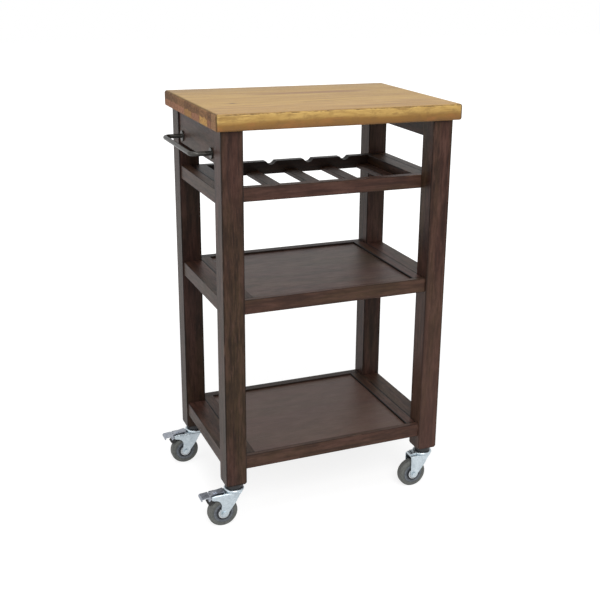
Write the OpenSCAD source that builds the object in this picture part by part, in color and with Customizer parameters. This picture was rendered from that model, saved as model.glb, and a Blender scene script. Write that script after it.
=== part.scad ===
// Kitchen cart on casters: a solid wood worktop on four square legs, a wine bottle rack,
// two framed shelves, a towel bar on the left side and four swivel casters, two with brakes.
// X runs to the right, Y to the rear and Z up. The origin is on the floor under the middle of the legs.

/* [Overall] */
// Height of the worktop surface above the floor
worktop_z = 864; // [820:1:960]
// Width over the legs
frame_w = 490; // [460:1:620]
// Depth over the legs
frame_d = 341; // [330:1:460]

/* [Worktop] */
// Thickness of the glued-up board
worktop_t = 32; // [24:1:40]
// Overhang past the legs on the left and on the right
overhang_x = 13; // [4:1:30]
// Overhang past the legs at the front and at the rear
overhang_y = 15; // [4:1:30]
// Radius of the roundover along the top edges
worktop_round = 5; // [2:0.5:10]
// Radius of the small roundover along the bottom edges
worktop_under_round = 4; // [1:0.5:6]
// Radius of the four upright corners, from the end of the roundover inwards
worktop_corner = 1; // [0.5:0.5:8]

/* [Legs] */
// Side of the square leg
leg_w = 44; // [40:1:54]
// Radius on the long edges of the legs
leg_round = 1.5; // [0.5:0.5:3]
// Chamfer round the foot of each leg
foot_chamfer = 4; // [2:1:8]
// How far side rails and side aprons lie behind the outer faces of the legs
side_setback = 3; // [1:0.5:8]

/* [Side aprons] */
// Thickness of both aprons
apron_t = 20; // [14:1:26]
// Depth of the left apron, which carries the towel bar
left_apron_h = 70; // [54:1:90]
// Depth of the right apron
right_apron_h = 45; // [30:1:90]

/* [Wine rack] */
// Height of the top of the rack above the floor
rack_z = 712; // [650:1:730]
// Height of the rack rails
rack_h = 28; // [24:1:40]
// Thickness of the side rails that join the legs beside the rack
rack_side_t = 20; // [14:1:26]
// Width of the strips along both sides of the rack
rack_strip_w = 32; // [16:1:40]
// Thickness of the front rail of the rack
rack_front_t = 19; // [14:1:26]
// Thickness of the notched rear rail of the rack
rack_rear_t = 19; // [14:1:26]
// Width of a slat
slat_w = 28; // [18:1:36]
// Thickness of a slat
slat_t = 9; // [6:1:12]
// Length of slat that lies in the rebate of each rail
slat_seat = 8; // [6:1:11]
// Width of a bottle neck notch at its mouth
notch_w = 24; // [20:1:30]
// Radius of the round bottom of a notch
notch_r = 10.5; // [6:0.5:12]

/* [Shelves] */
// Height of the top of the middle shelf frame
middle_z = 497; // [360:1:560]
// Height of the top of the bottom shelf frame
bottom_z = 158; // [142:1:220]
// Height of all shelf rails
shelf_h = 30; // [26:1:40]
// Width of the strips along both sides of a shelf
shelf_strip_w = 24; // [16:1:32]
// Thickness of the front rail of a shelf
shelf_front_t = 12; // [11:1:24]
// Thickness of the rear rail of a shelf
shelf_rear_t = 20; // [14:1:26]
// How far front and rear rails lie behind the faces of the legs
end_setback = 5; // [2:0.5:8]
// Thickness of a shelf panel
panel_t = 12; // [8:1:15]
// How far the panel lies below the top of its frame
panel_drop = 4; // [2:0.5:6]
// Depth of the groove that holds the panel
groove_deep = 6; // [4:0.5:7]

/* [Towel bar] */
// Diameter of the bar
bar_d = 9; // [7:0.5:12]
// Distance from a leg to the middle of the nearer bent end
bar_inset = 24; // [16:1:60]
// Distance from the apron to the middle of the bar
bar_reach = 40; // [32:1:60]
// Bend radius at the middle of the bar
bar_bend = 13; // [10:1:20]
// Height of the bar above the lower edge of the left apron
bar_up = 17; // [14:1:26]
// Diameter of the round flanges on the apron
flange_d = 22; // [18:1:26]
// Thickness of the flanges
flange_t = 3; // [2:0.5:4]

/* [Casters] */
// Height of a caster from the floor to the foot of the leg, which also sets its wheel
caster_h = 96; // [90:1:106]
// Gap between the tyre and the underside of the crown
crown_gap = 11.3; // [10.5:0.1:14]
// Width of the tyre
tyre_w = 20; // [16:1:22]
// Radius of the tread shoulders
tyre_round = 6; // [3:0.5:7]
// Diameter at which the tyre sits on the hub
tyre_seat_d = 29; // [28:1:36]
// Diameter of the bright hub face
hub_face_d = 23.5; // [20:0.5:26]
// Width of the hub boss between the fork plates
boss_w = 25; // [24:0.5:28]
// Distance from the swivel axis to the axle
trail = 26; // [24:1:34]
// Thickness of the fork sheet
fork_t = 2.2; // [1.6:0.1:2.8]
// Outside radius of the bend between crown and plates
fork_bend = 5; // [3.5:0.5:8]
// Half width of the plate ends round the axle
fork_eye = 7.5; // [7:0.5:10]
// Distance from the swivel axis to the front edge of the plates at the crown
fork_front = 15.5; // [14:0.5:19]
// Distance the front corner of a plate lies below the crown
fork_corner_down = 7; // [5:0.5:22]
// Distance the front corner of a plate lies behind its front edge
fork_corner_back = 7; // [1:0.5:9]
// Height of the lower front corner of a plate above the axle
fork_belly_up = 22.5; // [18:0.5:26]
// Distance from the axle to that corner, measured towards the swivel
fork_belly_out = 26; // [20:0.5:28]
// Diameter of the axle bolt
axle_d = 7; // [5:0.5:8]
// Diameter of the swivel race
race_d = 43; // [40:1:45]
// Height of the swivel race above the crown
race_h = 6.7; // [5:0.1:9]
// Diameter of the dark cap above the race
cap_d = 35; // [28:1:38]
// Height of the dark cap
cap_h = 12; // [9:1:13]
// Chamfer round the top of the dark cap
cap_chamfer = 3; // [1:0.5:4]
// Diameter of the kingpin
kingpin_d = 10; // [8:1:12]
// Diameter of the stem in the leg
stem_d = 10; // [8:1:12]
// Length of the stem in the leg
stem_l = 38; // [25:1:50]

/* [Brakes] */
// Distance from the axle to the brake pivot, measured away from the swivel
pivot_back = 7; // [5:0.5:8]
// Distance from the underside of the crown down to the brake pivot
pivot_down = 4.1; // [4:0.1:5]
// Diameter of the brake pivot pin
pivot_d = 4; // [3:0.5:4.5]
// Width of the brake lever
lever_w = 17; // [14:1:20]
// Thickness of the lever sheet
lever_t = 2; // [1.5:0.1:2.4]
// Height of the lever above the crown beside the swivel race
lever_up = 4; // [3.5:0.5:6]
// Fall of the lever from the race to the foot pad
lever_fall = 5.5; // [3:0.5:6]
// Diameter of the hole in the lever beside the foot pad
lever_hole_d = 3.5; // [2:0.5:5]
// Width of the foot pad of the brake
pad_w = 24; // [20:1:30]
// Length of the foot pad
pad_l = 17; // [12:1:24]
// Depth of the turned down lip at the end of the foot pad
pad_lip = 6; // [4:0.5:10]
// Gap between brake shoe and tyre with the brake off
shoe_gap = 2.8; // [2.6:0.1:3.5]
// Thickness of the brake shoe
shoe_t = 7.5; // [5:0.5:8]
// Width of the brake shoe
shoe_w = 18; // [14:1:20]
// Radius of the notch in a braked fork, over the wheel
ear_notch_r = 15; // [11:0.5:16]
// Distance from the axle to the rear edge of a braked plate beside the notch
neck_back = 5; // [4:0.5:7]

/* [Hidden] */
$fn = 64;

honey = [0.78, 0.62, 0.40];
espresso = [0.26, 0.19, 0.16];
gunmetal = [0.20, 0.20, 0.19];
zinc = [0.75, 0.78, 0.80];
dark_steel = [0.12, 0.12, 0.13];
grey_rubber = [0.34, 0.35, 0.34];
black_rubber = [0.07, 0.07, 0.07];
hub_grey = [0.80, 0.82, 0.84];

// Overshoot that takes a cut right through a face
over = 1;
// Rounding of the long edges of rails, strips, slats and panels
rail_round = 1;
// Clearance of a panel or slat end in its groove, per side
seat_clear = 0.15;
// Gap between faces that turn past each other
turn_clear = 0.3;
// Radial clearance of a running fit
run_clear = 0.08;
// Radial clearance of a fixed fit
pin_clear = 0.05;

// Main planes of the frame
leg_out_x = frame_w / 2;
leg_out_y = frame_d / 2;
leg_in_x = leg_out_x - leg_w;
leg_in_y = leg_out_y - leg_w;
leg_mid_x = leg_out_x - leg_w / 2;
leg_mid_y = leg_out_y - leg_w / 2;
side_face_x = leg_out_x - side_setback;
top_under_z = worktop_z - worktop_t;

// Rectangle with round corners, centred
module round_rect(w, h, r) {
    square([w - 2 * r, h], center = true);
    square([w, h - 2 * r], center = true);
    for (sx = [-1, 1])
        for (sy = [-1, 1])
            translate([sx * (w / 2 - r), sy * (h / 2 - r)])
                circle(r);
}

// Square bar with round long edges between two corners, running along Y
module bar_y(low, high, r = rail_round) {
    size = high - low;
    translate([low.x + size.x / 2, high.y, low.z + size.z / 2])
        rotate([90, 0, 0])
            linear_extrude(size.y)
                round_rect(size.x, size.z, r);
}

// The same bar running along X
module bar_x(low, high, r = rail_round) {
    size = high - low;
    translate([low.x, low.y + size.y / 2, low.z + size.z / 2])
        rotate([90, 0, 90])
            linear_extrude(size.x)
                round_rect(size.y, size.z, r);
}

// Plain block between two corners, for cuts
module block(low, high) {
    translate(low)
        cube(high - low);
}

// Mirror a child to the left side
module to_left() {
    mirror([1, 0, 0])
        children();
}

// WORKTOP
worktop_w = frame_w + 2 * overhang_x;
worktop_d = frame_d + 2 * overhang_y;
corner_reach = max(worktop_round, worktop_under_round) + worktop_corner;

// Edge section of the board, from the corner centre out to the edge
module edge_section() {
    top_flat = corner_reach - worktop_round;
    under_flat = corner_reach - worktop_under_round;
    square([top_flat, worktop_t]);
    square([under_flat, worktop_t - worktop_round]);
    translate([0, worktop_under_round])
        square([corner_reach, worktop_t - worktop_round - worktop_under_round]);
    intersection() {
        union() {
            translate([top_flat, worktop_t - worktop_round])
                circle(worktop_round);
            translate([under_flat, worktop_under_round])
                circle(worktop_under_round);
        }
        square([corner_reach, worktop_t]);
    }
}

module worktop() {
    core_x = worktop_w / 2 - corner_reach;
    core_y = worktop_d / 2 - corner_reach;
    color(honey)
        translate([0, 0, top_under_z]) {
            translate([-core_x, -core_y, 0])
                cube([2 * core_x, 2 * core_y, worktop_t]);
            for (sx = [-1, 1])
                for (sy = [-1, 1])
                    translate([sx * core_x, sy * core_y, 0])
                        rotate_extrude()
                            edge_section();
            for (turn = [0, 180])
                rotate([0, 0, turn]) {
                    translate([-core_x, core_y, 0])
                        rotate([90, 0, 90])
                            linear_extrude(2 * core_x)
                                edge_section();
                    translate([core_x, core_y, 0])
                        rotate([90, 0, 0])
                            linear_extrude(2 * core_y)
                                edge_section();
                }
        }
}

// LEGS
// Side view of a leg with its chamfered foot, standing on the foot
module leg_side() {
    leg_l = top_under_z - caster_h;
    polygon([
        [-leg_w / 2 + foot_chamfer, 0],
        [leg_w / 2 - foot_chamfer, 0],
        [leg_w / 2, foot_chamfer],
        [leg_w / 2, leg_l],
        [-leg_w / 2, leg_l],
        [-leg_w / 2, foot_chamfer]
    ]);
}

module leg(sx, sy) {
    color(espresso)
        translate([sx * leg_mid_x, sy * leg_mid_y, caster_h])
            difference() {
                intersection() {
                    linear_extrude(top_under_z - caster_h)
                        round_rect(leg_w, leg_w, leg_round);
                    for (turn = [0, 90])
                        rotate([90, 0, turn])
                            translate([0, 0, -leg_w])
                                linear_extrude(2 * leg_w)
                                    leg_side();
                }
                translate([0, 0, -over])
                    cylinder(r = stem_d / 2 + pin_clear, h = stem_l + 2 * over);
            }
}

// SIDE APRONS
module apron(h) {
    color(espresso)
        bar_y(
            [side_face_x - apron_t, -leg_in_y, top_under_z - h],
            [side_face_x, leg_in_y, top_under_z]
        );
}

// WINE RACK
// The rack frame sits between the two side rails and behind the front legs
slat_count = 5;
rack_out_x = side_face_x - rack_side_t;
rack_in_x = rack_out_x - rack_strip_w;
rack_low_z = rack_z - rack_h;
rack_front_y = -leg_in_y + rack_front_t;
rack_rear_y = leg_in_y - rack_rear_t;
slat_pitch = (2 * rack_in_x - slat_w) / (slat_count - 1);
slat_first_x = -rack_in_x + slat_w / 2;

module rack_side_rail() {
    color(espresso)
        bar_y([rack_out_x, -leg_in_y, rack_low_z], [side_face_x, leg_in_y, rack_z]);
}

module rack_strip() {
    color(espresso)
        bar_y([rack_in_x, rack_front_y, rack_low_z], [rack_out_x, rack_rear_y, rack_z]);
}

// Rebates in the lower edges of both rails for the slat ends
module slat_rebates() {
    for (i = [0:slat_count - 1]) {
        mid = slat_first_x + i * slat_pitch;
        half = slat_w / 2 + seat_clear;
        block(
            [mid - half, rack_front_y - slat_seat - seat_clear, rack_low_z - over],
            [mid + half, rack_rear_y + slat_seat + seat_clear, rack_low_z + slat_t + seat_clear]
        );
    }
}

module rack_front_rail() {
    color(espresso)
        difference() {
            bar_x([-rack_out_x, -leg_in_y, rack_low_z], [rack_out_x, rack_front_y, rack_z]);
            slat_rebates();
        }
}

// Bottle neck notch: 45 degree sides running into a round bottom, cut down from the top edge
module notch_shape() {
    tangent = notch_r * sin(45);
    mouth = notch_w / 2;
    polygon([
        [-mouth - over, over],
        [-tangent, tangent - mouth],
        [tangent, tangent - mouth],
        [mouth + over, over]
    ]);
    translate([0, notch_r / sin(45) - mouth])
        circle(notch_r);
}

module rack_rear_rail() {
    color(espresso)
        difference() {
            bar_x([-rack_out_x, rack_rear_y, rack_low_z], [rack_out_x, leg_in_y, rack_z]);
            slat_rebates();
            for (i = [0:slat_count - 2])
                translate([slat_first_x + (i + 0.5) * slat_pitch, leg_in_y + over, rack_z])
                    rotate([90, 0, 0])
                        linear_extrude(rack_rear_t + 2 * over)
                            notch_shape();
        }
}

module rack_slat(i) {
    mid = slat_first_x + i * slat_pitch;
    color(espresso)
        bar_y(
            [mid - slat_w / 2, rack_front_y - slat_seat, rack_low_z],
            [mid + slat_w / 2, rack_rear_y + slat_seat, rack_low_z + slat_t]
        );
}

// SHELVES
// Both shelves are one frame, given the height of its top
strip_in_x = leg_in_x - shelf_strip_w;
shelf_front_y = -leg_out_y + end_setback + shelf_front_t;
shelf_rear_y = leg_out_y - end_setback - shelf_rear_t;
tongue = groove_deep - seat_clear;

// Space of the panel in its frame, grown by a clearance
module panel_space(top, grow) {
    block(
        [
            -strip_in_x - tongue - grow,
            shelf_front_y - tongue - grow,
            top - panel_drop - panel_t - grow
        ],
        [
            strip_in_x + tongue + grow,
            shelf_rear_y + tongue + grow,
            top - panel_drop + grow
        ]
    );
}

module shelf_side_rail(top) {
    color(espresso)
        bar_y([leg_in_x, -leg_in_y, top - shelf_h], [side_face_x, leg_in_y, top]);
}

module shelf_strip(top) {
    color(espresso)
        difference() {
            bar_y([strip_in_x, shelf_front_y, top - shelf_h], [leg_in_x, shelf_rear_y, top]);
            panel_space(top, seat_clear);
        }
}

module shelf_front_rail(top) {
    color(espresso)
        difference() {
            bar_x(
                [-leg_in_x, shelf_front_y - shelf_front_t, top - shelf_h],
                [leg_in_x, shelf_front_y, top]
            );
            panel_space(top, seat_clear);
        }
}

module shelf_rear_rail(top) {
    color(espresso)
        difference() {
            bar_x(
                [-leg_in_x, shelf_rear_y, top - shelf_h],
                [leg_in_x, shelf_rear_y + shelf_rear_t, top]
            );
            panel_space(top, seat_clear);
        }
}

module shelf_panel(top) {
    color(espresso)
        panel_space(top, 0);
}

// TOWEL BAR
// Round bar with two bent ends that meet the left apron
bar_z = top_under_z - left_apron_h + bar_up;
bar_span = 2 * (leg_in_y - bar_inset);

module towel_bar() {
    straight = bar_span - 2 * bar_bend;
    color(gunmetal)
        translate([-side_face_x, 0, bar_z]) {
            translate([-bar_reach, straight / 2, 0])
                rotate([90, 0, 0])
                    cylinder(d = bar_d, h = straight);
            for (side = [0, 1])
                mirror([0, side, 0]) {
                    translate([-bar_reach + bar_bend, straight / 2, 0])
                        rotate([0, 0, 90])
                            rotate_extrude(angle = 90)
                                translate([bar_bend, 0])
                                    circle(d = bar_d);
                    translate([-bar_reach + bar_bend, bar_span / 2, 0])
                        rotate([0, 90, 0])
                            cylinder(d = bar_d, h = bar_reach - bar_bend);
                }
        }
}

module towel_bar_flanges() {
    color(gunmetal)
        for (side = [-1, 1])
            translate([-side_face_x, side * bar_span / 2, bar_z])
                rotate([0, -90, 0])
                    difference() {
                        cylinder(d = flange_d, h = flange_t);
                        translate([0, 0, -over])
                            cylinder(r = bar_d / 2 + pin_clear, h = flange_t + 2 * over);
                    }
}

// CASTERS
// Drawn about the swivel axis with the wheel trailing to the left, standing on the floor
cap_low = caster_h - cap_h;
race_top = cap_low - turn_clear;
crown_top = race_top - race_h;
crown_low = crown_top - fork_t;
wheel_d = crown_low - crown_gap;
axle_z = wheel_d / 2;
plate_in = boss_w / 2 + turn_clear;
plate_out = plate_in + fork_t;

// Puts a caster part under its leg
module under_leg(sx, sy) {
    translate([sx * leg_mid_x, sy * leg_mid_y, 0])
        children();
}

// Extrudes a side view across the caster, centred on the wheel plane
module across(width) {
    translate([0, width / 2, 0])
        rotate([90, 0, 0])
            linear_extrude(width)
                children();
}

// Round bar across the caster at a point of the side view
module cross_bar(x, z, r, width) {
    translate([x, width / 2, z])
        rotate([90, 0, 0])
            cylinder(r = r, h = width);
}

// Stem, dark cap, kingpin and kingpin head, turned in one piece
kingpin_head_t = 5;
kingpin_head_rim = 3.5;
cap_edge = 1;

module caster_stem() {
    color(dark_steel) {
        translate([0, 0, crown_low - turn_clear - kingpin_head_t])
            cylinder(r = kingpin_d / 2 + kingpin_head_rim, h = kingpin_head_t);
        translate([0, 0, crown_low - turn_clear - over])
            cylinder(d = kingpin_d, h = race_top - crown_low + 2 * (turn_clear + over));
        rotate_extrude()
            translate([0, cap_low])
                polygon([
                    [0, 0],
                    [cap_d / 2 - cap_edge, 0],
                    [cap_d / 2, cap_edge],
                    [cap_d / 2, cap_h - cap_chamfer],
                    [cap_d / 2 - cap_chamfer, cap_h],
                    [0, cap_h]
                ]);
        translate([0, 0, caster_h - over])
            cylinder(d = stem_d, h = stem_l + over);
    }
}

// Fork plate seen from the side: broad under the crown and narrow at the axle
fork_back = trail + fork_eye;
pivot_x = -trail - pivot_back;
pivot_z = crown_low - pivot_down;
ear_l = 18;
ear_h = 11.5;
ear_slope = 2;
ear_lift = 2;
ear_low = crown_top - ear_h;
neck_x = -trail - neck_back;
notch_x = neck_x - ear_notch_r;
notch_z = ear_low - ear_notch_r;

module plate_side(rear_x) {
    reach = [fork_belly_out, fork_belly_up];
    meet = atan2(reach.y, reach.x) - acos(fork_eye / norm(reach));
    translate([-trail, axle_z])
        circle(fork_eye);
    polygon([
        [rear_x, crown_top],
        [rear_x, notch_z],
        [-fork_back, axle_z],
        [-trail + fork_eye * cos(meet), axle_z + fork_eye * sin(meet)],
        [-trail, axle_z] + reach,
        [fork_front - fork_corner_back, crown_top - fork_corner_down],
        [fork_front, crown_top]
    ]);
}

// The plate of a braked caster reaches back over the wheel in an ear with a round notch below
module braked_plate_side() {
    plate_side(neck_x);
    difference() {
        polygon([
            [neck_x + over, crown_top],
            [-fork_back, crown_top],
            [-fork_back - ear_l, crown_top - ear_slope],
            [-fork_back - ear_l, ear_low + ear_lift],
            [notch_x, ear_low],
            [notch_x, notch_z],
            [neck_x + over, notch_z]
        ]);
        translate([notch_x, notch_z])
            circle(ear_notch_r);
    }
}

// End view of the crown and plates, a channel with round shoulders
module fork_end(inset) {
    half = plate_out - inset;
    r = fork_bend - inset;
    translate([-half, 0])
        square([2 * half, crown_top - inset - r]);
    translate([-half + r, 0])
        square([2 * (half - r), crown_top - inset]);
    for (side = [-1, 1])
        translate([side * (half - r), crown_top - inset - r])
            circle(r);
}

module fork_shell() {
    length = 2 * (fork_back + ear_l + fork_front);
    translate([-length / 2, 0, 0])
        rotate([90, 0, 90])
            linear_extrude(length)
                difference() {
                    fork_end(0);
                    fork_end(fork_t);
                }
}

// Swivel race: a flat ring with a round rim on the crown
module race() {
    rim = race_h / 2;
    translate([0, 0, crown_top])
        rotate_extrude() {
            translate([race_d / 2 - rim, rim])
                circle(rim);
            square([race_d / 2 - rim, race_h]);
        }
    translate([0, 0, crown_low])
        cylinder(d = race_d - 2 * race_h, h = fork_t + over);
}

module axle_hole() {
    cross_bar(-trail, axle_z, axle_d / 2 + pin_clear, 2 * (plate_out + over));
}

module kingpin_hole() {
    translate([0, 0, crown_low - over])
        cylinder(r = kingpin_d / 2 + run_clear, h = race_top - crown_low + 2 * over);
}

// Stepped tongue pressed up behind the race
tongue_w = 18;

module tongue_steps() {
    step = race_h / 2;
    behind = race_d / 2;
    color(zinc) {
        across(tongue_w)
            polygon([
                [-fork_back, crown_top - over],
                [-fork_back, crown_top + step],
                [(-fork_back - behind) / 2, crown_top + step],
                [(-fork_back - behind) / 2, race_top - step / 2],
                [-behind + step, race_top - step / 2],
                [-behind + step, crown_top - over]
            ]);
    }
}

module plain_fork() {
    color(zinc)
        difference() {
            union() {
                intersection() {
                    fork_shell();
                    across(2 * plate_out + over)
                        plate_side(-fork_back);
                }
                race();
                tongue_steps();
            }
            axle_hole();
            kingpin_hole();
        }
}

// On a braked fork the crown stops short, so that the lever can pass up between the ears
crown_past_race = 4;
crown_end_x = -race_d / 2 - crown_past_race;

module braked_fork() {
    color(zinc)
        difference() {
            union() {
                intersection() {
                    fork_shell();
                    across(2 * plate_out + over)
                        braked_plate_side();
                }
                race();
            }
            block(
                [-fork_back - ear_l - over, -plate_in, crown_low - fork_bend],
                [crown_end_x, plate_in, crown_top + over]
            );
            axle_hole();
            kingpin_hole();
            cross_bar(pivot_x, pivot_z, pivot_d / 2 + pin_clear, 2 * (plate_out + over));
        }
}

// Axle bolt with a hexagon head on one side and a nut on the other
module axle() {
    head_t = 3;
    head_rim = 2.2;
    color(zinc)
        translate([-trail, 0, axle_z])
            rotate([90, 0, 0]) {
                translate([0, 0, -plate_out - head_t])
                    cylinder(d = axle_d, h = 2 * (plate_out + head_t));
                for (side = [0, 1])
                    mirror([0, 0, side])
                        translate([0, 0, plate_out])
                            cylinder(r = axle_d / 2 + head_rim, h = head_t, $fn = 6);
            }
}

// Hub: a wide boss with bright faces inside a narrower rim that carries the tyre
module hub() {
    tyre_lap = 1.5;
    color(hub_grey)
        difference() {
            union() {
                cross_bar(-trail, axle_z, hub_face_d / 2, boss_w);
                cross_bar(-trail, axle_z, tyre_seat_d / 2, tyre_w - 2 * tyre_lap);
            }
            cross_bar(-trail, axle_z, axle_d / 2 + run_clear, boss_w + 2 * over);
        }
}

module tyre() {
    seat_r = tyre_seat_d / 2 + pin_clear;
    color(grey_rubber)
        translate([-trail, 0, axle_z])
            rotate([90, 0, 0])
                rotate_extrude()
                    difference() {
                        union() {
                            translate([seat_r, -tyre_w / 2])
                                square([axle_z - tyre_round - seat_r, tyre_w]);
                            translate([seat_r, -tyre_w / 2 + tyre_round])
                                square([axle_z - seat_r, tyre_w - 2 * tyre_round]);
                            for (side = [-1, 1])
                                translate([axle_z - tyre_round, side * (tyre_w / 2 - tyre_round)])
                                    circle(tyre_round);
                        }
                        translate([-over, -tyre_w])
                            square([seat_r + over, 2 * tyre_w]);
                    }
}

// BRAKES
// The lever turns on a pin through the ears. Pressing the foot pad brings the shoe to the tyre.
tube_wall = 1;
tube_gap = 1.3;
boss_rim = 0.6;
lever_gap = 1;
race_gap = 1.5;
lever_past = 4;
tube_r = pivot_d / 2 + tube_wall;
boss_r = tube_r + boss_rim;
lever_front_x = -race_d / 2 - race_gap;
lever_back_x = -fork_back - ear_l - lever_past;
lever_front_z = crown_top + lever_up;
lever_back_z = lever_front_z - lever_fall;
shoe_r = axle_z + shoe_gap;
shoe_from = 124;
shoe_to = 142;
carrier_to = 134;
carrier_r = shoe_r + shoe_t;

// Height of the top of the lever at a distance along it
function lever_z(x) = lever_front_z + lever_fall * (x - lever_front_x) / (lever_front_x - lever_back_x);

function round_wheel(r, angle) = [-trail + r * cos(angle), axle_z + r * sin(angle)];

// Cheek of the lever seen from the side, from the race down round the tyre to the shoe
module cheek_side() {
    slot_gap = 0.6;
    slot_x = crown_end_x - slot_gap;
    cheek_past = 1.5;
    cheek_trim = 0.3;
    cheek_h = 7;
    tyre_room = 4.8;
    translate([pivot_x, pivot_z])
        circle(boss_r);
    difference() {
        polygon([
            [lever_front_x, crown_top + lever_gap],
            [lever_front_x, lever_front_z],
            [lever_back_x, lever_back_z],
            [lever_back_x, lever_back_z - cheek_h],
            round_wheel(carrier_r + lever_t, carrier_to),
            round_wheel(axle_z, carrier_to),
            [pivot_x, pivot_z - boss_r],
            [pivot_x, pivot_z + boss_r],
            [slot_x, pivot_z + boss_r],
            [slot_x, crown_top + lever_gap]
        ]);
        translate([-trail, axle_z])
            circle(axle_z + tyre_room);
        ring_sector(axle_z, carrier_r + cheek_trim, shoe_from - cheek_past, shoe_to + cheek_past);
    }
}

// Part of a ring round the wheel, from one angle to another
module ring_sector(from_r, to_r, from_a, to_a) {
    reach = 2 * to_r;
    intersection() {
        translate([-trail, axle_z])
            difference() {
                circle(to_r);
                circle(from_r);
            }
        polygon([
            [-trail, axle_z],
            round_wheel(reach, from_a),
            round_wheel(reach, to_a)
        ]);
    }
}

// Raised pressing that stiffens the lever
module lever_rib() {
    rib_w = 8;
    rib_h = 1.8;
    rib_slope = 1;
    rib_off_race = 14;
    rib_off_pad = 9;
    rib_from = lever_front_x - rib_off_race;
    rib_to = lever_back_x + rib_off_pad;
    across(rib_w)
        polygon([
            [rib_from, lever_z(rib_from) - lever_t / 2],
            [rib_from, lever_z(rib_from)],
            [rib_from - rib_slope, lever_z(rib_from) + rib_h],
            [rib_to + rib_slope, lever_z(rib_to) + rib_h],
            [rib_to, lever_z(rib_to)],
            [rib_to, lever_z(rib_to) - lever_t / 2]
        ]);
}

// Foot pad, tilted up a little, with its end turned down
module foot_pad() {
    pad_tilt = 4;
    pad_extra = 0.5;
    pad_t = lever_t + pad_extra;
    translate([lever_back_x + over, 0, lever_back_z])
        rotate([0, -pad_tilt, 0])
            across(pad_w)
                polygon([
                    [0, 0],
                    [-pad_l, 0],
                    [-pad_l - pad_t, -pad_t],
                    [-pad_l - pad_t, -pad_lip],
                    [-pad_l, -pad_lip],
                    [-pad_l, -pad_t],
                    [0, -pad_t]
                ]);
}

module brake_lever() {
    hole_in = 4;
    color(zinc)
        difference() {
            union() {
                for (side = [-1, 1])
                    translate([0, side * (lever_w - lever_t) / 2, 0])
                        across(lever_t)
                            cheek_side();
                across(lever_w - lever_t) {
                    polygon([
                        [lever_front_x, lever_front_z],
                        [lever_back_x, lever_back_z],
                        [lever_back_x, lever_back_z - lever_t],
                        [lever_front_x, lever_front_z - lever_t]
                    ]);
                    ring_sector(carrier_r, carrier_r + lever_t, shoe_from, carrier_to);
                }
                lever_rib();
                cross_bar(pivot_x, pivot_z, tube_r, 2 * (plate_in - tube_gap));
                foot_pad();
            }
            cross_bar(pivot_x, pivot_z, pivot_d / 2 + run_clear, 2 * (plate_out + over));
            translate([lever_back_x + hole_in, 0, lever_back_z])
                cylinder(d = lever_hole_d, h = 2 * lever_t + over, center = true);
        }
}

module brake_shoe() {
    color(black_rubber)
        across(shoe_w)
            ring_sector(shoe_r, carrier_r - pin_clear, shoe_from, shoe_to);
}

// Riveted pivot pin of the brake
module brake_pin() {
    head_t = 1.2;
    head_rim = 1.4;
    color(zinc) {
        cross_bar(pivot_x, pivot_z, pivot_d / 2, 2 * plate_out + head_t);
        for (side = [-1, 1])
            translate([0, side * (plate_out + head_t / 2), 0])
                cross_bar(pivot_x, pivot_z, pivot_d / 2 + head_rim, head_t);
    }
}

worktop();
leg(-1, -1);  // leg_fl
leg(1, -1);  // leg_fr
leg(-1, 1);  // leg_rl
leg(1, 1);  // leg_rr
to_left() apron(left_apron_h);  // apron_left
apron(right_apron_h);  // apron_right
to_left() rack_side_rail();  // rack_side_rail_left
rack_side_rail();  // rack_side_rail_right
to_left() rack_strip();  // rack_strip_left
rack_strip();  // rack_strip_right
rack_front_rail();
rack_rear_rail();
rack_slat(0);  // rack_slat_1
rack_slat(1);  // rack_slat_2
rack_slat(2);  // rack_slat_3
rack_slat(3);  // rack_slat_4
rack_slat(4);  // rack_slat_5
to_left() shelf_side_rail(middle_z);  // middle_side_rail_left
shelf_side_rail(middle_z);  // middle_side_rail_right
to_left() shelf_strip(middle_z);  // middle_strip_left
shelf_strip(middle_z);  // middle_strip_right
shelf_front_rail(middle_z);  // middle_front_rail
shelf_rear_rail(middle_z);  // middle_rear_rail
shelf_panel(middle_z);  // middle_panel
to_left() shelf_side_rail(bottom_z);  // bottom_side_rail_left
shelf_side_rail(bottom_z);  // bottom_side_rail_right
to_left() shelf_strip(bottom_z);  // bottom_strip_left
shelf_strip(bottom_z);  // bottom_strip_right
shelf_front_rail(bottom_z);  // bottom_front_rail
shelf_rear_rail(bottom_z);  // bottom_rear_rail
shelf_panel(bottom_z);  // bottom_panel
towel_bar();
towel_bar_flanges();
under_leg(-1, -1) caster_stem();  // caster_stem_fl
under_leg(1, -1) caster_stem();  // caster_stem_fr
under_leg(-1, 1) caster_stem();  // caster_stem_rl
under_leg(1, 1) caster_stem();  // caster_stem_rr
under_leg(-1, -1) braked_fork();  // fork_fl
under_leg(1, -1) plain_fork();  // fork_fr
under_leg(-1, 1) braked_fork();  // fork_rl
under_leg(1, 1) plain_fork();  // fork_rr
under_leg(-1, -1) axle();  // axle_fl
under_leg(1, -1) axle();  // axle_fr
under_leg(-1, 1) axle();  // axle_rl
under_leg(1, 1) axle();  // axle_rr
under_leg(-1, -1) hub();  // hub_fl
under_leg(1, -1) hub();  // hub_fr
under_leg(-1, 1) hub();  // hub_rl
under_leg(1, 1) hub();  // hub_rr
under_leg(-1, -1) tyre();  // tyre_fl
under_leg(1, -1) tyre();  // tyre_fr
under_leg(-1, 1) tyre();  // tyre_rl
under_leg(1, 1) tyre();  // tyre_rr
under_leg(-1, -1) brake_lever();  // brake_lever_fl
under_leg(-1, 1) brake_lever();  // brake_lever_rl
under_leg(-1, -1) brake_shoe();  // brake_shoe_fl
under_leg(-1, 1) brake_shoe();  // brake_shoe_rl
under_leg(-1, -1) brake_pin();  // brake_pin_fl
under_leg(-1, 1) brake_pin();  // brake_pin_rl
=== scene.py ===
import math

import bpy
from mathutils import Matrix, Vector


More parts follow.
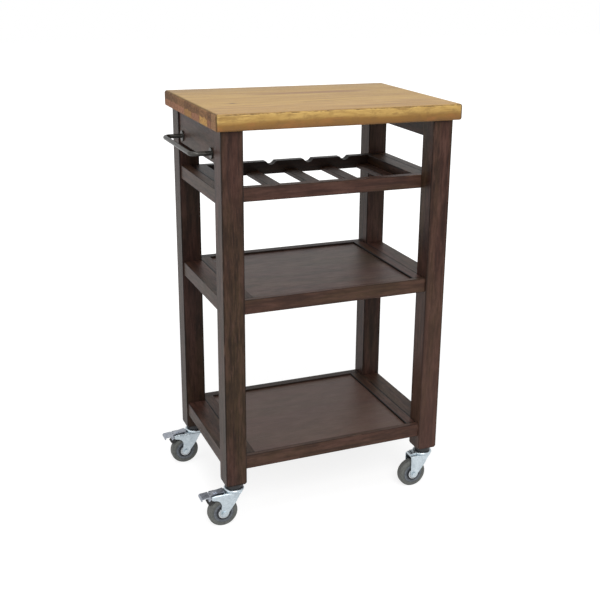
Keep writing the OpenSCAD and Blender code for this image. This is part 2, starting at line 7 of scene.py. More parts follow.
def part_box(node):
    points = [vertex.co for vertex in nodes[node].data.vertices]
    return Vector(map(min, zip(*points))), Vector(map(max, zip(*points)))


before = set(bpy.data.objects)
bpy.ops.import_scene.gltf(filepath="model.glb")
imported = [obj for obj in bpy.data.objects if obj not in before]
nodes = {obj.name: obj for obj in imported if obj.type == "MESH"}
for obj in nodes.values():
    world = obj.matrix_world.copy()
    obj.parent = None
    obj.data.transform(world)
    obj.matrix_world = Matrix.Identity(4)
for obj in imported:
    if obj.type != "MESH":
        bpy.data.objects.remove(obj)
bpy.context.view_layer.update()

# THE VIEW
# The cart is seen from a little above its worktop and from in front of its left side.
# The lens and its small shift put the cart where the photograph has it.
image_width = 600
sensor_width = 36.0
focal_pixels = 988.23
centre_pixel = (338.09, 281.47)
far_limit = 50
eye = Vector((-0.78048, -1.90532, 1.13429))
turn, tilt, lean = (math.radians(a) for a in (-24.14, 18.04, 1.12))

camera_data = bpy.data.cameras.new("camera")
camera = bpy.data.objects.new("camera", camera_data)
bpy.context.scene.collection.objects.link(camera)
bpy.context.scene.camera = camera
camera_data.sensor_width = sensor_width
camera_data.lens = focal_pixels * sensor_width / image_width
camera_data.shift_x = (image_width / 2 - centre_pixel[0]) / image_width
camera_data.shift_y = (centre_pixel[1] - image_width / 2) / image_width
camera_data.clip_end = far_limit

back = Vector((math.sin(turn) * math.cos(tilt), -math.cos(turn) * math.cos(tilt), math.sin(tilt)))
across = Vector((math.cos(turn), math.sin(turn), 0))
upward = back.cross(across)
right = math.cos(lean) * across + math.sin(lean) * upward
upward = math.cos(lean) * upward - math.sin(lean) * across
camera.matrix_world = Matrix((right, upward, back)).transposed().to_4x4()
camera.location = eye
bpy.context.scene.view_settings.view_transform = "Standard"


# THE ROOM
# A plain white studio: a pale floor that keeps the soft shadow of the cart, white walls that
# the metal mirrors, and soft lamps overhead, in front and, weaker, to the left of the cart.
class Wire:
    """The value that leaves one socket of a shader node, for sums written as in Python."""

    def __init__(self, tree, out):
        self.tree, self.out = tree, out

    def node(self, kind, settings, sockets, out=0):
        """Adds a node, sets it up, feeds its sockets and gives back its output."""
        made = self.tree.nodes.new(kind)
        for name, value in settings.items():
            setattr(made, name, value)
        for socket, value in sockets.items():
            if isinstance(value, Wire):
                self.tree.links.new(value.out, made.inputs[socket])
            else:
                made.inputs[socket].default_value = value
        return Wire(self.tree, made.outputs[out] if made.outputs else None)

    def math(self, operation, *values, clamp=False):
        settings = {"operation": operation, "use_clamp": clamp}
        return self.node("ShaderNodeMath", settings, dict(enumerate((self,) + values)))

    def __add__(self, other):
        return self.math("ADD", other)

    __radd__ = __add__

    def __sub__(self, other):
        return self.math("SUBTRACT", other)

    def __rsub__(self, other):
        return self.node("ShaderNodeMath", {"operation": "SUBTRACT"}, {0: other, 1: self})

    def __mul__(self, other):
        return self.math("MULTIPLY", other)

    __rmul__ = __mul__

    def __truediv__(self, other):
        return self.math("DIVIDE", other)

    def clamp(self):
        return self.math("ADD", 0.0, clamp=True)

    def ramp(self, low, high):
        """0 below low, 1 above high and smooth between."""
        settings = {"interpolation_type": "SMOOTHSTEP"}
        sockets = {0: self, 1: low, 2: high, 3: 0.0, 4: 1.0}
        return self.node("ShaderNodeMapRange", settings, sockets)

    def vector(self, operation, other):
        return self.node("ShaderNodeVectorMath", {"operation": operation}, {0: self, 1: other})

    def length(self):
        return self.node("ShaderNodeVectorMath", {"operation": "LENGTH"}, {0: self}, out="Value")

    def parts(self):
        return [self.node("ShaderNodeSeparateXYZ", {}, {0: self}, out=i) for i in range(3)]

    def blend(self, first, second):
        """A colour that goes from first to second as this value goes from 0 to 1."""
        sockets = {0: self, 6: first, 7: second}
        return self.node("ShaderNodeMix", {"data_type": "RGBA"}, sockets, out=2)

    def noise(self, scale, detail=2.0, roughness=0.5):
        """Noise read at this place, from 0 to 1, with scale a number per metre or one per axis."""
        place = self.vector("MULTIPLY", scale) if isinstance(scale, tuple) else self
        number = 1.0 if isinstance(scale, tuple) else scale
        sockets = {0: place, 2: number, 3: detail, 4: roughness}
        return self.node("ShaderNodeTexNoise", {}, sockets)


def blank_tree(owner):
    """The start of an empty node tree for a material or the world."""
    owner.use_nodes = True
    owner.node_tree.nodes.clear()
    return Wire(owner.node_tree, None)


def object_place(start):
    """The place of the point that is shaded, in metres."""
    return start.node("ShaderNodeTexCoord", {}, {}, out="Object")


def seen_directly(start):
    """1 for what the camera, a mirror or glass sees of the room, and 0 for its light."""
    outputs = start.node("ShaderNodeLightPath", {}, {}).out.node.outputs
    camera_ray = Wire(start.tree, outputs["Is Camera Ray"])
    glossy_ray = Wire(start.tree, outputs["Is Glossy Ray"])
    glass_ray = Wire(start.tree, outputs["Is Transmission Ray"])
    return (camera_ray + glossy_ray + glass_ray).clamp()


room_light = 0.34
pure_white = (1, 1, 1, 1)
world = bpy.data.worlds.new("studio")
bpy.context.scene.world = world
start = blank_tree(world)
level = seen_directly(start) * (1 - room_light) + room_light
glow = start.node("ShaderNodeBackground", {}, {"Color": pure_white, "Strength": level})
start.node("ShaderNodeOutputWorld", {}, {0: glow})


def soft_lamp(name, place, aim_height, size, watts):
    """A square lamp that is aimed at the middle of the cart, at a height."""
    data = bpy.data.lights.new(name, "AREA")
    data.shape = "SQUARE"
    data.size = size
    data.energy = watts
    lamp = bpy.data.objects.new(name, data)
    bpy.context.scene.collection.objects.link(lamp)
    lamp.location = place
    to_lamp = Vector(place) - Vector((0, 0, aim_height))
    lamp.rotation_euler = to_lamp.to_track_quat("Z", "Y").to_euler()


soft_lamp("lamp_overhead", (-0.3, -0.5, 2.9), aim_height=0.6, size=2.0, watts=30)
soft_lamp("lamp_front", (-0.4, -2.7, 2.5), aim_height=0.4, size=1.5, watts=62)
soft_lamp("lamp_left", (-2.6, -0.7, 1.3), aim_height=0.4, size=1.6, watts=12)

floor_size = 24
floor_height = -0.0004
floor_grey = (0.9, 0.9, 0.9, 1)
floor_glow = 1.25
glow_near_cart = 0.66

bpy.ops.object.select_all(action="DESELECT")
bpy.ops.mesh.primitive_plane_add(size=floor_size, location=(0, 0, floor_height))
floor = bpy.context.object
floor.name = "studio_floor"
floor_paint = bpy.data.materials.new("floor_white")
start = blank_tree(floor_paint)
matt = start.node("ShaderNodeBsdfDiffuse", {}, {"Color": floor_grey})
white = start.node("ShaderNodeEmission", {}, {"Color": pure_white, "Strength": floor_glow})
# The floor glows white all over, but for a share near the cart that shows its shadow
away = object_place(start).length()
share = away.ramp(0.5, 1.8) * (1 - glow_near_cart) + glow_near_cart
sockets = {0: seen_directly(start) * share, 1: matt, 2: white}
floor_look = start.node("ShaderNodeMixShader", {}, sockets)
start.node("ShaderNodeOutputMaterial", {}, {0: floor_look})
floor.data.materials.append(floor_paint)


# THE WORKTOP
# A board glued up from hardwood staves that run from left to right, rounded over at its edges
# and oiled to a honey colour. It lies on the legs and aprons.
x_axis, y_axis, z_axis = range(3)


def surface(name, finish):
    """A material whose look is written by finish, which returns the shader's socket values."""
    material = bpy.data.materials.new(name)
    start = blank_tree(material)
    shader = start.node("ShaderNodeBsdfPrincipled", {}, finish(object_place(start)))
    start.node("ShaderNodeOutputMaterial", {}, {0: shader})
    return material


def dress(node, material):
    """Gives a CAD node one material all over."""
    mesh = nodes[node].data
    mesh.materials.clear()
    mesh.materials.append(material)


def bump(height, depth):
    """Relief from a height between 0 and 1, depth metres deep."""
    return height.node("ShaderNodeBump", {}, {"Distance": depth, "Height": height})


def facing(place, axis):
    """How squarely the surface faces along an axis, from 0 to 1, whichever way round."""
    normal = place.node("ShaderNodeNewGeometry", {}, {}, out="True Normal")
    return normal.parts()[axis].math("ABSOLUTE")


def grained(place, along, length, width, detail=2.0, roughness=0.5):
    """Noise drawn out along the grain, for figure about as long and as wide as given."""
    scale = [1 / width, 1 / width, 1 / width]
    scale[along] = 1 / length
    return place.noise(tuple(scale), detail, roughness)


def between(value, low, high, soft):
    """1 between two values and 0 outside them, with soft ends."""
    return value.ramp(low - soft, low + soft) * (1.0 - value.ramp(high - soft, high + soft))


def laid(under, mask, strength, colour):
    """A colour laid over another where mask is 1, and hiding a share strength of it."""
    return (mask * strength).blend(under, colour)


def late_wood(figure, count, rise, fall):
    """The dark part of count growth rings, which comes on slowly and ends sharply."""
    ring = (figure * count).math("FRACT")
    return ring.ramp(*rise) * (1.0 - ring.ramp(*fall))


board_rear = 0.1855
stave_width = 0.053
glue_width = 0.0006
left_round_over = (-0.2575, -0.2500)
strip_y = -0.1560
heart_z = 0.8475
knot = (-0.182, -0.050, 0.864)
stave_seed = 4.3
stave_shift = (3.0, 0.9, 1.7)
relief_depth = 0.00012

gold = (0.485, 0.310, 0.090, 1)
amber = (0.350, 0.200, 0.050, 1)
brown = (0.190, 0.094, 0.028, 1)
rose = (0.300, 0.150, 0.055, 1)


class Board:
    """What the worktop's colours are worked out from, at the place that is shaded."""

    def __init__(self, place):
        self.place = place
        self.x, self.y, self.z = place.parts()
        staves = (self.y + board_rear) / stave_width
        number = staves.math("FLOOR")
        sockets = {"W": number + stave_seed}
        settings = {"noise_dimensions": "1D"}
        chance = place.node("ShaderNodeTexWhiteNoise", settings, sockets, out="Color")
        self.tone, self.hue, self.kind = chance.parts()
        self.own = place.vector("ADD", chance.vector("MULTIPLY", stave_shift))
        self.from_middle = (staves.math("FRACT") - 0.5).math("ABSOLUTE")
        self.glue = self.from_middle.ramp(0.5 - glue_width / stave_width, 0.5)
        self.left_round = 1.0 - self.x.ramp(*left_round_over)
        self.wander = grained(place, x_axis, 0.25, 0.06, detail=1.0) - 0.5
        self.fibre = grained(self.own, x_axis, 0.030, 0.0017, detail=3.0, roughness=0.6)
        self.pores = grained(self.own, x_axis, 0.007, 0.0005, detail=1.0).ramp(0.62, 0.74)


def face_colour(board):
    """The upper and under face: honey staves with ribbon figure and one pin knot."""
    straw = (0.600, 0.400, 0.140, 1)
    heart_red = (0.235, 0.112, 0.038, 1)
    weathered = (0.285, 0.190, 0.095, 1)
    smoked = (0.190, 0.112, 0.054, 1)
    left_end_brown = (0.060, 0.040, 0.024, 1)
    knot_brown = (0.060, 0.030, 0.014, 1)
    streak_sides, streak_ends = (0.046, 0.080), (-0.11, 0.17)
    x, y = board.x, board.y

    figure = grained(board.own, x_axis, 0.42, 0.022)
    colour = laid(gold, late_wood(figure, 8.0, (0.35, 0.9), (0.93, 1.0)), 0.70, amber)
    colour = laid(colour, board.tone.ramp(0.3, 1.0), 0.50, amber)
    colour = laid(colour, board.hue.ramp(0.45, 1.0), 0.40, rose)
    ribbon = grained(board.own, x_axis, 0.16, 0.0065, detail=3.0, roughness=0.6)
    colour = laid(colour, ribbon.ramp(0.50, 0.66), 0.60, brown)
    colour = laid(colour, 1.0 - ribbon.ramp(0.32, 0.44), 0.35, straw)
    # A reddish heart streak along the middle of the board
    streak = between(y + board.wander * 0.03, *streak_sides, soft=0.012)
    streak = streak * between(x, *streak_ends, soft=0.05)
    streak = streak * grained(board.own, x_axis, 0.30, 0.010).ramp(0.30, 0.62)
    colour = laid(colour, streak, 0.85, heart_red)
    # Duller wood towards the rear, smoky at the left, and brown along the left end
    colour = laid(colour, y.ramp(0.10, 0.185), 0.50, weathered)
    colour = laid(colour, y.ramp(0.07, 0.18) * (1.0 - x.ramp(-0.25, -0.08)), 0.40, smoked)
    colour = laid(colour, y.ramp(-0.10, 0.10), 0.20, brown)
    colour = laid(colour, board.left_round, 0.92, left_end_brown)
    colour = laid(colour, board.fibre.ramp(0.45, 0.85), 0.30, brown)
    # The knot, with the grain darkened round it
    away = board.place.vector("SUBTRACT", knot).vector("MULTIPLY", (0.55, 1.0, 1.0)).length()
    colour = laid(colour, 1.0 - away.ramp(0.002, 0.014), 0.45, brown)
    return laid(colour, 1.0 - away.ramp(0.0016, 0.0048), 0.95, knot_brown)


def edge_colour(board):
    """The front and rear edges: gold sapwood above and orange-brown below, partly the wood's own
    colour and partly painted shade, darker still at the foot as painted shade under the rounded
    lower edge.
    """
    bright_sapwood = (0.640, 0.425, 0.138, 1)
    plain_sapwood = (0.430, 0.262, 0.074, 1)
    orange_brown = (0.270, 0.145, 0.038, 1)
    under_shade_brown = (0.164, 0.078, 0.025, 1)
    ember_red = (0.340, 0.135, 0.046, 1)
    cloud_brown = (0.145, 0.080, 0.031, 1)
    fleck_brown = (0.170, 0.095, 0.036, 1)
    fleck_gold = (0.700, 0.480, 0.180, 1)
    sapwood_foot, pale_fleck_foot = (0.8455, 0.8545), (0.8400, 0.8560)
    under_shade_top, ember_top = (0.8340, 0.8480), (0.8440, 0.8540)
    place = board.place

    level = board.z + board.wander * 0.012 + (1.0 - board.x.ramp(-0.250, -0.120)) * 0.0035
    patch = grained(place, x_axis, 0.050, 0.010, detail=3.0, roughness=0.6)
    colour = laid(bright_sapwood, patch.ramp(0.40, 0.66), 0.60, plain_sapwood)
    # Orange-brown below is partly the wood's colour and partly painted shade, and the foot is
    # painted darker as the shade under the rounded lower edge
    colour = (1.0 - level.ramp(*sapwood_foot)).blend(colour, orange_brown)
    colour = (1.0 - level.ramp(*under_shade_top)).blend(colour, under_shade_brown)
    ember = grained(board.own, x_axis, 0.040, 0.016).ramp(0.50, 0.66)
    colour = laid(colour, ember * (1.0 - level.ramp(*ember_top)), 0.45, ember_red)
    cloud = grained(place, x_axis, 0.024, 0.014, detail=3.0, roughness=0.65)
    colour = laid(colour, cloud.ramp(0.46, 0.64), 0.42, cloud_brown)
    fleck = grained(place, x_axis, 0.030, 0.0045, detail=3.0, roughness=0.65)
    colour = laid(colour, fleck.ramp(0.50, 0.66), 0.42, fleck_brown)
    pale_fleck = (1.0 - fleck.ramp(0.34, 0.46)) * level.ramp(*pale_fleck_foot)
    colour = laid(colour, pale_fleck, 0.15, fleck_gold)
    return laid(colour, board.fibre.ramp(0.45, 0.8), 0.25, brown)


def end_colour(board):
    """The ends: dark end grain along the top, pink and gold blocks below, and a front strip."""
    heart_pale = (0.300, 0.158, 0.074, 1)
    heart_dark = (0.100, 0.050, 0.028, 1)
    block_gold = (0.580, 0.335, 0.112, 1)
    block_pink = (0.400, 0.196, 0.120, 1)
    block_brown = (0.190, 0.088, 0.046, 1)
    ring_brown = (0.240, 0.110, 0.052, 1)
    joint_brown = (0.110, 0.058, 0.032, 1)
    strip_tan = (0.325, 0.188, 0.096, 1)
    strip_line_brown = (0.110, 0.055, 0.028, 1)
    dark_speck = (0.085, 0.045, 0.026, 1)
    pale_speck = (0.420, 0.250, 0.110, 1)
    rear_brown = (0.062, 0.044, 0.030, 1)
    tone, y = board.tone, board.y

    rings = late_wood(board.own.noise((3.0, 50.0, 75.0), 1.0, 0.3), 5.0, (0.2, 0.8), (0.88, 1.0))
    heart = (rings * 0.4 + tone * 0.6).blend(heart_pale, heart_dark)
    block = board.kind.ramp(0.35, 0.65).blend(block_gold, block_pink)
    block = laid(block, tone.ramp(0.40, 0.95), 0.50, block_brown)
    block = laid(block, rings, 0.40, ring_brown)
    block = laid(block, board.from_middle.ramp(0.44, 0.49), 0.5, joint_brown)
    level = board.z + (board.own.noise(35.0) - 0.5) * 0.010
    upper = level.ramp(heart_z - 0.0015, heart_z + 0.0015)
    colour = upper.blend(block, heart)
    strip = 1.0 - y.ramp(strip_y - 0.002, strip_y + 0.002)
    colour = laid(colour, strip, 0.75, strip_tan)
    strip_line = between(y, strip_y, strip_y + 0.004, 0.001)
    colour = laid(colour, strip_line, 0.7, strip_line_brown)
    speck = board.place.noise(170.0, detail=4.0, roughness=0.7)
    colour = laid(colour, speck.ramp(0.48, 0.64), 0.34, dark_speck)
    colour = laid(colour, 1.0 - speck.ramp(0.34, 0.48), 0.20, pale_speck)
    return (y.ramp(0.06, 0.18) * (upper * 0.25 + 0.25)).blend(colour, rear_brown)


def honey_finish(place):
    crease_brown = (0.100, 0.056, 0.022, 1)
    corner_brown = (0.060, 0.036, 0.018, 1)
    right_round_brown = (0.105, 0.078, 0.055, 1)
    pore_brown = (0.180, 0.082, 0.030, 1)
    crease_foot, crease_top = 0.8612, 0.8634
    edge_strip_rear = (-0.1800, -0.1780)
    right_round_over = (0.2520, 0.2545)
    board = Board(place)

    on_edge = facing(place, y_axis).ramp(0.25, 0.75)
    colour = laid(face_colour(board), on_edge, 0.95, edge_colour(board))
    # The crease where the edge strip meets the face, with small dark flecks
    crease = between(board.z, crease_foot, crease_top, soft=0.0005)
    crease = crease * (1.0 - board.y.ramp(*edge_strip_rear))
    fleck = grained(place, x_axis, 0.014, 0.004, detail=3.0, roughness=0.6).ramp(0.40, 0.62)
    colour = (crease * (fleck * 0.55 + 0.32)).blend(colour, crease_brown)

    on_end = facing(place, x_axis).ramp(0.55, 0.85)
    colour = on_end.blend(colour, end_colour(board))
    corner = facing(place, x_axis).ramp(0.30, 0.60) * facing(place, y_axis).ramp(0.30, 0.60)
    colour = laid(colour, corner, 0.85, corner_brown)
    # Dark end grain where the right end is rounded over
    right_round = board.x.ramp(*right_round_over)
    right_round = right_round * (1.0 - facing(place, x_axis).ramp(0.90, 0.98))
    colour = laid(colour, right_round, 0.80, right_round_brown)

    colour = laid(colour, board.pores, 0.35, pore_brown)
    colour = laid(colour, board.glue, 0.30, brown)
    rough = 0.38 + board.fibre * 0.12 + board.pores * 0.1 + on_end * 0.32
    rough = rough + board.left_round * 0.3 * (1.0 - on_end)
    relief = board.fibre * 0.35 + (1.0 - board.pores) * 0.4 + (1.0 - board.glue) * 0.25
    return {
        "Base Color": colour,
        "Roughness": rough,
        "Normal": bump(relief, depth=relief_depth),
        "Specular IOR Level": 0.18,
    }


dress("worktop", surface("honey_wood", honey_finish))


# THE DARK TIMBER
# Legs, aprons, rails, strips, slats and panels are hardwood stained dark brown under a satin
# lacquer, which is rubbed thin along the edges. Each is sawn from its own place in the wood.
umber = (0.053, 0.0318, 0.0165, 1)
russet = (0.059, 0.0262, 0.0190, 1)
deep = (0.013, 0.007, 0.006, 1)
pale_timber = (0.104, 0.053, 0.041, 1)
pale_panel = (0.125, 0.072, 0.056, 1)
pore_black = (0.007, 0.004, 0.003, 1)
edge_shade_black = (0.006, 0.004, 0.003, 1)
seam_and_shade_black = (0.004, 0.003, 0.003, 1)
painted_shade_black = (0.005, 0.004, 0.004, 1)
rubbed = (0.140, 0.084, 0.060, 1)
broad_edge, narrow_edge = 0.0040, 0.0026
seam_width = 0.0032
wide_seams = {"rack_strip_left": 0.0085, "middle_strip_left": 0.0054}
leg_fr_fade = (0.16, 0.60)
pore_depth = 0.0001
panel_shine, timber_shine = 0.27, 0.12
panel_figure, timber_figure = 0.35, 1.0


def arris(place, node, reach):
    """1 on the long and short edges of a squared timber, fading out within reach."""
    low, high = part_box(node)
    centre, half = (low + high) / 2, (high - low) / 2
    offset = place.vector("SUBTRACT", tuple(centre))
    distances = place.node("ShaderNodeVectorMath", {"operation": "ABSOLUTE"}, {0: offset})
    near = [part.ramp(size - reach, size) for part, size in zip(distances.parts(), half)]
    pairs = (near[0] * near[1]).math("MAXIMUM", near[1] * near[2])
    return pairs.math("MAXIMUM", near[0] * near[2])


def strip_seam(place, node):
    """1 in the seam between a strip and its rail, a dark joint with painted shade in it, and on a
    right-hand shelf strip also along the low step down to the panel, as that step's painted shade.
    Two of the seams on the left are wider, as painted shade of the recess beside them."""
    low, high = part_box(node)
    middle, half = (low.x + high.x) / 2, (high.x - low.x) / 2
    outward = 1.0 if node.endswith("right") else -1.0
    aside = (place.parts()[x_axis] - middle) * outward
    if node in ("middle_strip_right", "bottom_strip_right"):
        aside = aside.math("ABSOLUTE")
    width = wide_seams.get(node, seam_width)
    return aside.ramp(half - width, half - width / 2)


def stained_finish(node, along, number, painted_shade_and_light):
    """The stain on one timber. Its number picks its place in the wood. Painted shade makes it
    darker than the others, up to 1, and painted light makes it paler, down to -1."""
    seed = (number * 0.37, number * 0.61 + 2.0, number * 0.83 + 5.0)
    is_panel = node.endswith("panel")
    pale = pale_panel if is_panel else pale_timber
    figure = panel_figure if is_panel else timber_figure
    edge_reach = broad_edge if along == z_axis or "strip_right" in node else narrow_edge

    def finish(place):
        own = place.vector("ADD", seed)
        cast = grained(own, along, 0.32, 0.045, detail=1.0)
        cloud = grained(own, along, 0.070, 0.026, detail=2.0, roughness=0.55)
        streak = grained(own, along, 0.150, 0.0090, detail=3.0, roughness=0.6)
        fleck = grained(own, along, 0.026, 0.0040, detail=3.0, roughness=0.62)
        fibre = grained(own, along, 0.040, 0.0013, detail=3.0, roughness=0.6)
        pores = grained(own, along, 0.008, 0.0005, detail=1.0).ramp(0.60, 0.72)
        colour = cast.ramp(0.36, 0.64).blend(umber, russet)
        colour = laid(colour, 1.0 - cloud.ramp(0.34, 0.58), 0.40, pale)
        colour = laid(colour, cloud.ramp(0.50, 0.72), 0.40, deep)
        colour = laid(colour, streak.ramp(0.44, 0.66), 0.55 * figure, deep)
        colour = laid(colour, 1.0 - streak.ramp(0.30, 0.46), 0.35 * figure, pale)
        colour = laid(colour, fleck.ramp(0.48, 0.66), 0.36, deep)
        colour = laid(colour, 1.0 - fleck.ramp(0.32, 0.46), 0.34, pale)
        colour = laid(colour, fibre.ramp(0.50, 0.80), 0.35, deep)
        colour = laid(colour, pores, 0.50, pore_black)
        # Painted shade darkens the edges where their rounding turns away from the light, and here
        # and there the stain is rubbed through
        edge = arris(place, node, edge_reach)
        worn = grained(own, along, 0.060, 0.010).ramp(0.58, 0.72)
        colour = laid(colour, edge, 0.80, edge_shade_black)
        colour = laid(colour, edge * worn, 0.70, rubbed)
        # Painted shade in the strip's seam and, on right-hand shelf strips, along the step down to
        # the panel
        if "strip" in node:
            colour = laid(colour, strip_seam(place, node), 0.92, seam_and_shade_black)
        # Painted shade darkens timbers that lie in shade, and painted light makes timbers paler
        # where light falls on them
        if painted_shade_and_light > 0:
            colour = (place.noise(3.0) * 0.1 + painted_shade_and_light).blend(colour, painted_shade_black)
        elif painted_shade_and_light < 0:
            colour = (place.noise(3.0) * 0.2 - painted_shade_and_light).blend(colour, pale)
        if node == "leg_fr":
            # The lower part of this post is painted paler, as painted light against the shade
            # under the worktop
            lower = 1.0 - place.parts()[z_axis].ramp(*leg_fr_fade)
            colour = laid(colour, lower, 0.34, pale)
        return {
            "Base Color": colour,
            "Roughness": 0.34 + fibre * 0.10 + fleck * 0.10,
            "Normal": bump(fibre * 0.35 + (1.0 - pores) * 0.65, depth=pore_depth),
            "Specular IOR Level": panel_shine if is_panel else timber_shine,
        }

    return finish


upright = ["leg_fl", "leg_fr", "leg_rl", "leg_rr"]
front_to_rear = ["apron_left", "apron_right"]
front_to_rear += ["rack_side_rail_left", "rack_side_rail_right"]
front_to_rear += ["rack_strip_left", "rack_strip_right"]
front_to_rear += ["rack_slat_%d" % i for i in range(1, 6)]
left_to_right = ["rack_front_rail", "rack_rear_rail"]
for shelf in ("middle", "bottom"):
    for piece in ("_side_rail_left", "_side_rail_right", "_strip_left", "_strip_right"):
        front_to_rear.append(shelf + piece)
    for piece in ("_front_rail", "_rear_rail", "_panel"):
        left_to_right.append(shelf + piece)
# Painted shade on the legs, the left rack strip and the rear rails under the worktop and shelves,
# and painted light on the front rails and the bottom panel
painted_shade_and_light_by_node = {
    "leg_fl": 0.08,
    "leg_rl": 0.33,
    "leg_rr": 0.10,
    "rack_strip_left": 0.2,
    "rack_front_rail": -0.03,
    "rack_rear_rail": 0.65,
    "middle_front_rail": -0.06,
    "middle_rear_rail": 0.60,
    "bottom_front_rail": -0.04,
    "bottom_rear_rail": 0.45,
    "bottom_panel": -0.33,
}
number = 0
for along, timbers in ((z_axis, upright), (y_axis, front_to_rear), (x_axis, left_to_right)):
    for node in timbers:
        number += 1
        finish = stained_finish(node, along, number, painted_shade_and_light_by_node.get(node, 0))
        dress(node, surface("stained_" + node, finish))


# THE TOWEL BAR
# A round steel bar with both ends bent round to the left apron, where each is held by a round
# flange. The bar and its flanges are finished in dark gunmetal.
def gunmetal_finish(place):
    dark_gunmetal = (0.038, 0.036, 0.033, 1)
    light_gunmetal = (0.075, 0.072, 0.066, 1)
    patch = place.noise(60.0, detail=3.0)
    scratch = place.noise((900.0, 60.0, 900.0))
    return {
        "Base Color": patch.blend(dark_gunmetal, light_gunmetal),
        "Metallic": 0.85,
        "Roughness": 0.34 + patch * 0.12,
        "Normal": bump(scratch, depth=0.00004),
    }


gunmetal = surface("gunmetal", gunmetal_finish)
for node in ("towel_bar", "towel_bar_flanges"):
    dress(node, gunmetal)


# THE CASTERS
# Black turned stems in the feet of the legs carry pressed forks, plated in bluish zinc as the
# bolts and brake levers are. The wheels have grey rubber tyres on rims with bright faces; the
# rims are painted dark as painted shade in the groove round each face.
# Only the two left casters have a brake, a lever with a black shoe under it.
def zinc_finish(dark, light):
    """Zinc plate between two colours, with its spangle of crystals."""
    def finish(place):
        sockets = {"Vector": place, "Scale": 420.0}
        crystals = place.node("ShaderNodeTexVoronoi", {}, sockets, out="Color")
        spangle = crystals.parts()[0]
        cloud = place.noise(70.0, detail=3.0)
        smear = place.noise((60.0, 60.0, 22.0))
        shade = (spangle * 0.2 + cloud * 0.3 + smear * 0.5).ramp(0.25, 0.75)
        return {
            "Base Color": shade.blend(dark, light),
            "Metallic": 1.0,
            "Roughness": 0.30 + cloud * 0.14,
            "Normal": bump(cloud, depth=0.00005),
        }

    return finish


def black_steel_finish(place):
    dark_steel = (0.012, 0.012, 0.013, 1)
    light_steel = (0.030, 0.030, 0.032, 1)
    patch = place.noise(110.0, detail=3.0)
    return {
        "Base Color": patch.blend(dark_steel, light_steel),
        "Metallic": 0.3,
        "Roughness": 0.36 + patch * 0.15,
        "Normal": bump(patch, depth=0.00005),
    }


def shoe_finish(place):
    dark_rubber = (0.010, 0.010, 0.010, 1)
    light_rubber = (0.022, 0.022, 0.022, 1)
    fine = place.noise(900.0)
    return {
        "Base Color": fine.blend(dark_rubber, light_rubber),
        "Roughness": 0.6 + fine * 0.2,
        "Normal": bump(fine, depth=0.00008),
    }


def from_axle(place, node):
    """Distance from the axle of the wheel that a node belongs to."""
    low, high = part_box(node)
    arm = place.vector("SUBTRACT", tuple((low + high) / 2)).vector("MULTIPLY", (1.0, 0.0, 1.0))
    return arm.length()


def ring_line(radius, at, half):
    """1 on a line drawn round the wheel at a radius."""
    return between(radius, at - half, at + half, half * 0.7)


bright_face_radius = 0.01175
inner_step_radius, outer_step_radius = 0.0062, 0.0094
bead_radius = 0.0162
inner_groove_radius, outer_groove_radius = 0.0172, 0.0215
shoulder_radius = 0.0268
tread_radius = 0.0300


def hub_finish(node):
    """A bright pressed face with two fine steps drawn as lines of painted shade, in a rim painted
    dark as painted shade in the groove round the face.
    """
    dark_face, light_face = (0.42, 0.45, 0.47, 1), (0.58, 0.61, 0.63, 1)
    inner_step_shade, outer_step_shade = (0.16, 0.18, 0.20, 1), (0.20, 0.22, 0.24, 1)
    shaded_rim_dark, shaded_rim_light = (0.012, 0.014, 0.019, 1), (0.026, 0.029, 0.036, 1)

    def finish(place):
        radius = from_axle(place, node)
        patch = place.noise(140.0)
        face = patch.blend(dark_face, light_face)
        # The two steps are drawn as lines of painted shade
        face = laid(face, ring_line(radius, inner_step_radius, half=0.0005), 0.65, inner_step_shade)
        face = laid(face, ring_line(radius, outer_step_radius, half=0.0004), 0.35, outer_step_shade)
        # The rim round the bright face is painted dark, as painted shade in the groove there
        on_rim = radius.ramp(bright_face_radius - 0.0004, bright_face_radius + 0.0001)
        return {
            "Base Color": on_rim.blend(face, patch.blend(shaded_rim_dark, shaded_rim_light)),
            "Roughness": 0.32 + patch * 0.14,
            "Normal": bump(patch, depth=0.00004),
        }

    return finish


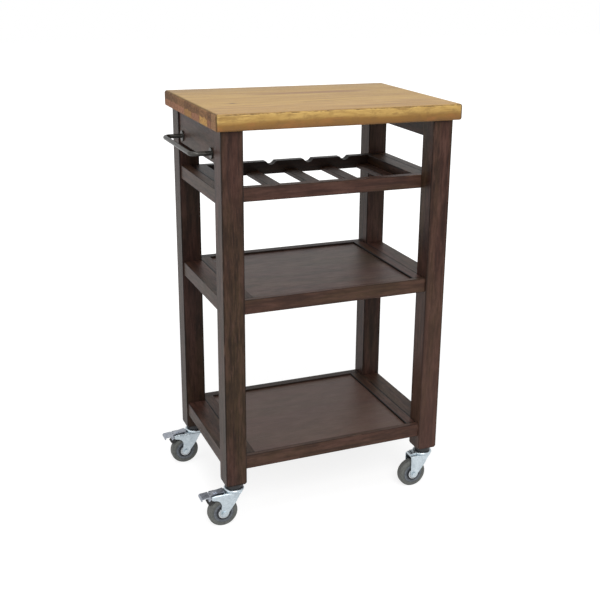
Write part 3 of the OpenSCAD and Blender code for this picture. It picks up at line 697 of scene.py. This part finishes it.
def tyre_finish(node):
    """Grey rubber with two mould grooves in its side painted dark as their shade, a bead painted
    dark as the shade of the groove round the hub, and a paler tread.
    """
    dark_outer, light_outer = (0.074, 0.078, 0.072, 1), (0.128, 0.132, 0.122, 1)
    dark_inner, light_inner = (0.080, 0.090, 0.104, 1), (0.150, 0.164, 0.182, 1)
    groove_shade_grey = (0.028, 0.031, 0.034, 1)
    bead_shade_grey = (0.018, 0.020, 0.026, 1)
    shoulder_grey = (0.200, 0.205, 0.200, 1)
    tread_grey = (0.140, 0.140, 0.132, 1)

    def finish(place):
        radius = from_axle(place, node)
        dust = place.noise(160.0, detail=4.0, roughness=0.65)
        fine = place.noise(1400.0)
        dusty = dust.ramp(0.3, 0.75)
        outer = dusty.blend(dark_outer, light_outer)
        inner = dusty.blend(dark_inner, light_inner)
        beyond_groove = radius.ramp(outer_groove_radius - 0.0007, outer_groove_radius + 0.0007)
        colour = beyond_groove.blend(inner, outer)
        # The mould grooves are painted dark, as painted shade
        groove = ring_line(radius, outer_groove_radius, half=0.0004)
        groove = (groove + ring_line(radius, inner_groove_radius, half=0.0004)).clamp()
        colour = laid(colour, groove, 0.6, groove_shade_grey)
        # The bead by the hub is painted dark, as painted shade of the groove round the face
        colour = (1.0 - radius.ramp(bead_radius - 0.0006, bead_radius)).blend(colour, bead_shade_grey)
        shoulder = ring_line(radius, shoulder_radius, half=0.0003)
        colour = laid(colour, shoulder, 0.35, shoulder_grey)
        colour = laid(colour, radius.ramp(tread_radius, tread_radius + 0.0016), 0.4, tread_grey)
        return {
            "Base Color": colour,
            "Roughness": 0.60 + dust * 0.2,
            "Normal": bump(fine * 0.15 + (1.0 - groove), depth=0.00030),
        }

    return finish


bright_zinc = zinc_finish(dark=(0.40, 0.46, 0.50, 1), light=(0.60, 0.67, 0.71, 1))
# The brake levers get a darker copy of the zinc, a painted reflection of the dark leg above them
shaded_zinc = zinc_finish(dark=(0.20, 0.22, 0.26, 1), light=(0.40, 0.42, 0.46, 1))
zinc = surface("bright_zinc", bright_zinc)
lever_zinc_shaded = surface("lever_zinc_shaded", shaded_zinc)
black_steel = surface("black_steel", black_steel_finish)
shoe_rubber = surface("shoe_rubber", shoe_finish)
for node in nodes:
    if node.startswith(("fork_", "axle_", "brake_pin_")):
        dress(node, zinc)
    elif node.startswith("brake_lever_"):
        dress(node, lever_zinc_shaded)
    elif node.startswith("caster_stem_"):
        dress(node, black_steel)
    elif node.startswith("hub_"):
        dress(node, surface("face_of_" + node, hub_finish(node)))
    elif node.startswith("tyre_"):
        dress(node, surface("rubber_of_" + node, tyre_finish(node)))
    elif node.startswith("brake_shoe_"):
        dress(node, shoe_rubber)
